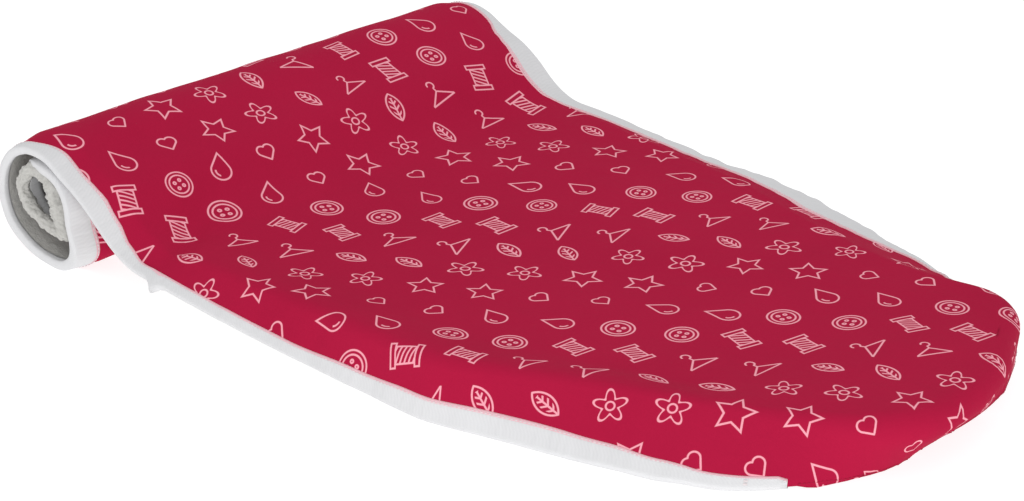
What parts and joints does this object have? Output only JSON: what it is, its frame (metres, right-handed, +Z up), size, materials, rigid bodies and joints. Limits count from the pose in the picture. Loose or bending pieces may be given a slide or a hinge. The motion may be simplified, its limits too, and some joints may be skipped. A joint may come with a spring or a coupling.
{
  "type": "ironing board cover",
  "caption": "Padded cotton ironing board cover with a line print, white casing tape round its rim and a nose pocket, laid open at the nose and rolled up at the heel.",
  "frame": {"origin": "middle of the bottom of the whole cover's bounding box, on the floor it lies on", "axes": "+X along the cover from the rolled heel to the nose, +Y across it to the left of someone looking towards the nose, +Z up"},
  "size_m": [0.7994, 0.5018, 0.1052],
  "materials": {
    "print_cotton": "matte woven cotton, deep red with a white line print",
    "wadding": "fluffy off-white polyester wadding",
    "casing_tape": "matte white woven tape",
    "elastic": "matte white braided elastic",
    "thread": "white sewing thread"
  },
  "bodies": {
    "root": {"printed_cover": "print_cotton", "wadding_pad": "wadding", "edge_casing": "casing_tape", "edge_elastic": "elastic", "casing_stitching": "thread", "nose_pocket": "print_cotton", "pocket_hem_tape": "casing_tape", "pocket_hem_stitching": "thread", "pocket_seam_stitching": "thread", "bartack_near": "thread", "bartack_far": "thread"}
  },
  "joints": []
}
